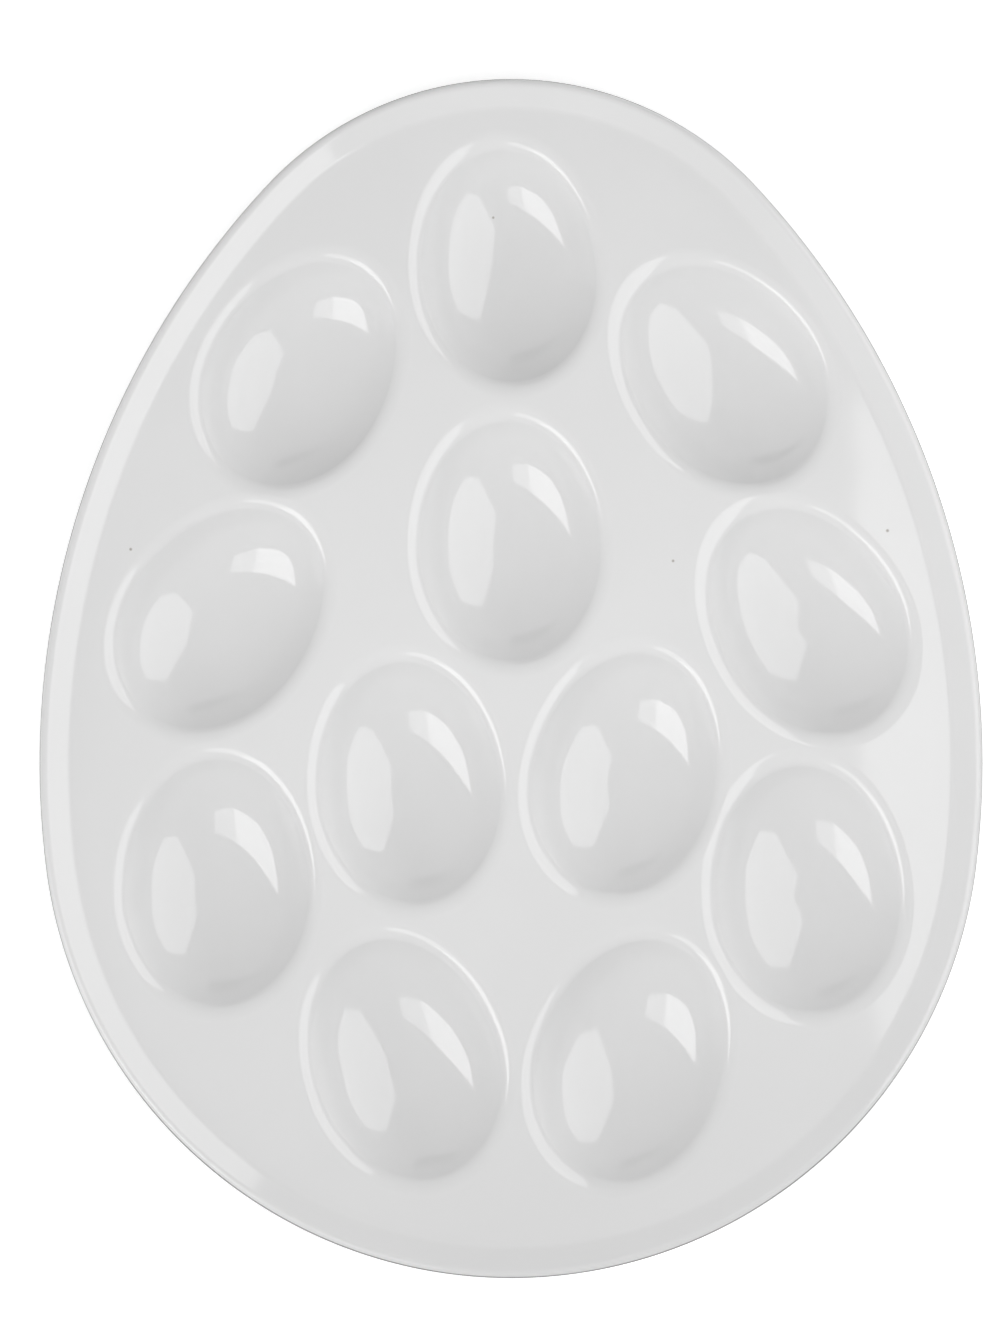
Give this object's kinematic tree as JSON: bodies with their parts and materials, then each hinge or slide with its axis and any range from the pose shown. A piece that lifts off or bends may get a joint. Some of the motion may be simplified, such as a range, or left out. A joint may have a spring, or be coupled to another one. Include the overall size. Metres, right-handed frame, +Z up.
{
  "type": "deviled egg platter",
  "caption": "Egg-shaped ceramic platter with a raised rim and oval wells, each sized for half a boiled egg; white gloss glaze.",
  "frame": {"origin": "middle of the platter's bounding box, on the table under the feet", "axes": "+X to the right and +Y to the narrow end as seen from above, +Z up"},
  "size_m": [0.2502, 0.318, 0.0217],
  "materials": {
    "glaze": "gloss",
    "bare_clay": "matte"
  },
  "bodies": {
    "root": {"deck": "glaze", "rim": "glaze", "well_top": "glaze", "well_upper_left": "glaze", "well_upper_right": "glaze", "well_centre": "glaze", "well_left": "glaze", "well_right": "glaze", "well_inner_left": "glaze", "well_inner_right": "glaze", "well_lower_left": "glaze", "well_lower_right": "glaze", "well_bottom_left": "glaze", "well_bottom_right": "glaze", "dry_feet": "bare_clay"}
  },
  "joints": []
}
